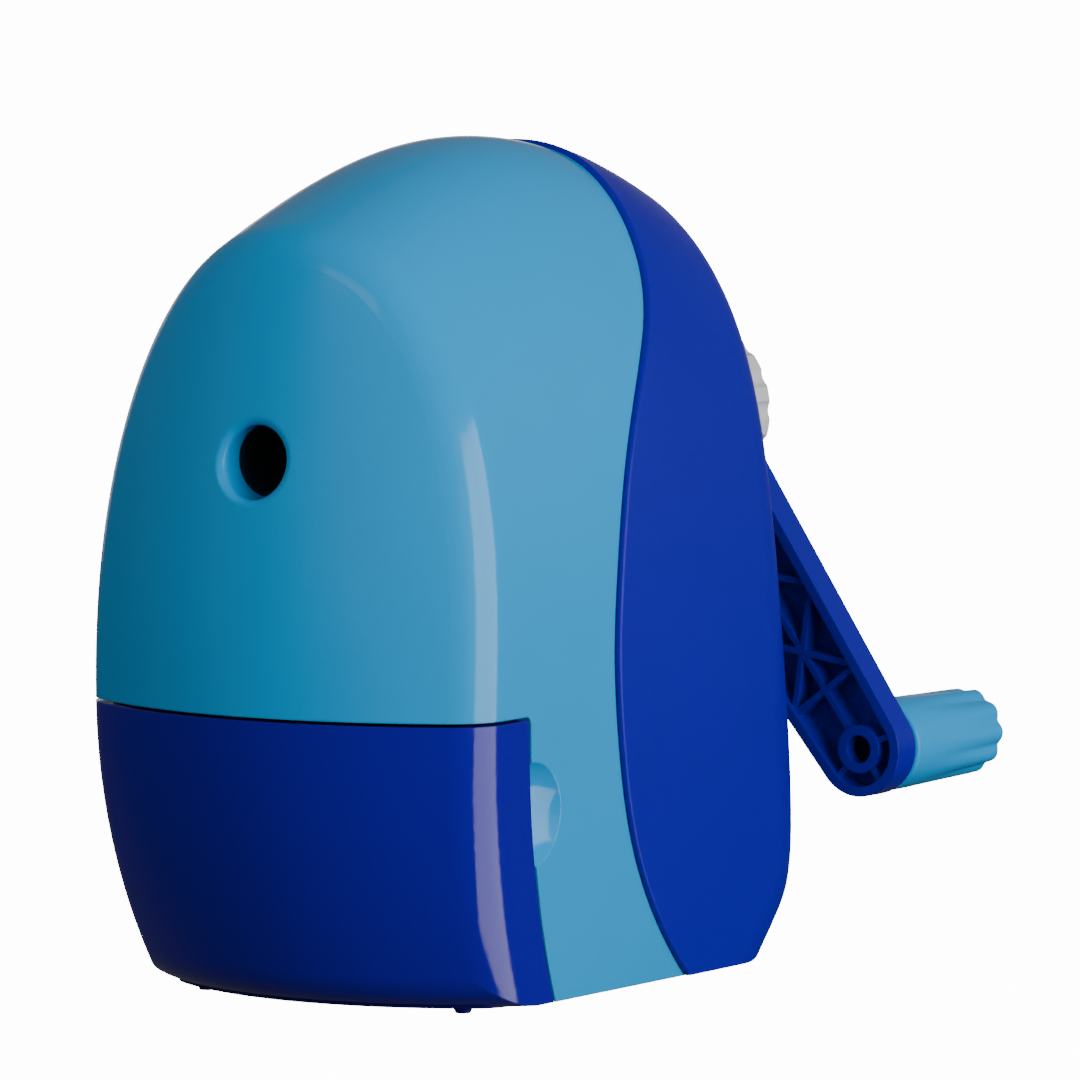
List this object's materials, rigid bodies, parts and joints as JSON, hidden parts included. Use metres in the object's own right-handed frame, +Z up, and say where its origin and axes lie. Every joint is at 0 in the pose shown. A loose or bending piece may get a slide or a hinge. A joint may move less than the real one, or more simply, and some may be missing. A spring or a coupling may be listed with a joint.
{
  "type": "crank pencil sharpener",
  "caption": "Desktop pencil sharpener with a domed two-tone housing, side crank, planetary helical cutter, point dial and pull-out shavings drawer.",
  "frame": {"origin": "on the table under the middle of the body, at the tip of the middle base pip", "axes": "+X to the right seen from the pencil hole side, +Y from the pencil hole to the crank, +Z up"},
  "size_m": [0.072, 0.1283, 0.1128],
  "materials": {
    "cyan_shell": "glossy moulded plastic",
    "blue_shell": "satin moulded plastic",
    "blue_drawer": "glossy moulded plastic",
    "blue_arm": "moulded plastic",
    "cyan_grip": "moulded plastic",
    "white_dial": "moulded plastic",
    "grey_frame": "moulded plastic",
    "die_cast": "die-cast",
    "tool_steel": "ground",
    "plated_steel": "zinc plated",
    "bush_brass": "turned"
  },
  "bodies": {
    "housing": {"front_shell": "cyan_shell", "rear_shell": "blue_shell", "base_plate": "blue_shell", "gear_frame": "grey_frame", "ring_gear": "die_cast", "shaft_bush": "bush_brass", "shell_screws": "plated_steel", "frame_screws": "plated_steel", "base_screws": "plated_steel"},
    "drawer": {"drawer": "blue_drawer"},
    "crank": {"cutter_carrier": "die_cast", "cutter_axle": "plated_steel", "crank_shaft": "plated_steel", "hub_set_screw": "plated_steel", "thrust_washer": "plated_steel", "crank_arm": "blue_arm", "arm_set_screw": "plated_steel", "grip_pin": "plated_steel"},
    "cutter": {"helical_cutter": "tool_steel", "cutter_pinion": "tool_steel"},
    "grip": {"handle_grip": "cyan_grip"},
    "dial": {"point_dial": "white_dial"},
    "stop_rod": {"point_stop_rod": "plated_steel"}
  },
  "joints": [
    {"name": "crank_turn", "type": "hinge", "parent": "housing", "child": "crank", "pos_m": [0, 0.05, 0.0726], "axis": [0, 1, 0], "continuous": true},
    {"name": "cutter_spin", "type": "hinge", "parent": "crank", "child": "cutter", "pos_m": [0, 0.0438, 0.0726], "axis": [0, 0.9816, -0.1908], "continuous": true},
    {"name": "grip_spin", "type": "hinge", "parent": "crank", "child": "grip", "pos_m": [0.03317, 0.07, 0.0281], "axis": [0, 1, 0], "continuous": true},
    {"name": "dial_turn", "type": "hinge", "parent": "crank", "child": "dial", "pos_m": [0, 0.062, 0.0726], "axis": [0, 1, 0], "range_deg": [0, 270]},
    {"name": "stop_rod_slide", "type": "slide", "parent": "crank", "child": "stop_rod", "axis": [0, 1, 0], "range_m": [0, 0.003]},
    {"name": "drawer_slide", "type": "slide", "parent": "housing", "child": "drawer", "axis": [0, -1, 0], "range_m": [0, 0.075]}
  ],
  "couplings": [
    {"joint": "cutter_spin", "follows": "crank_turn", "ratio": -3.1667},
    {"joint": "stop_rod_slide", "follows": "dial_turn", "m_per_rad": 0.000636}
  ]
}
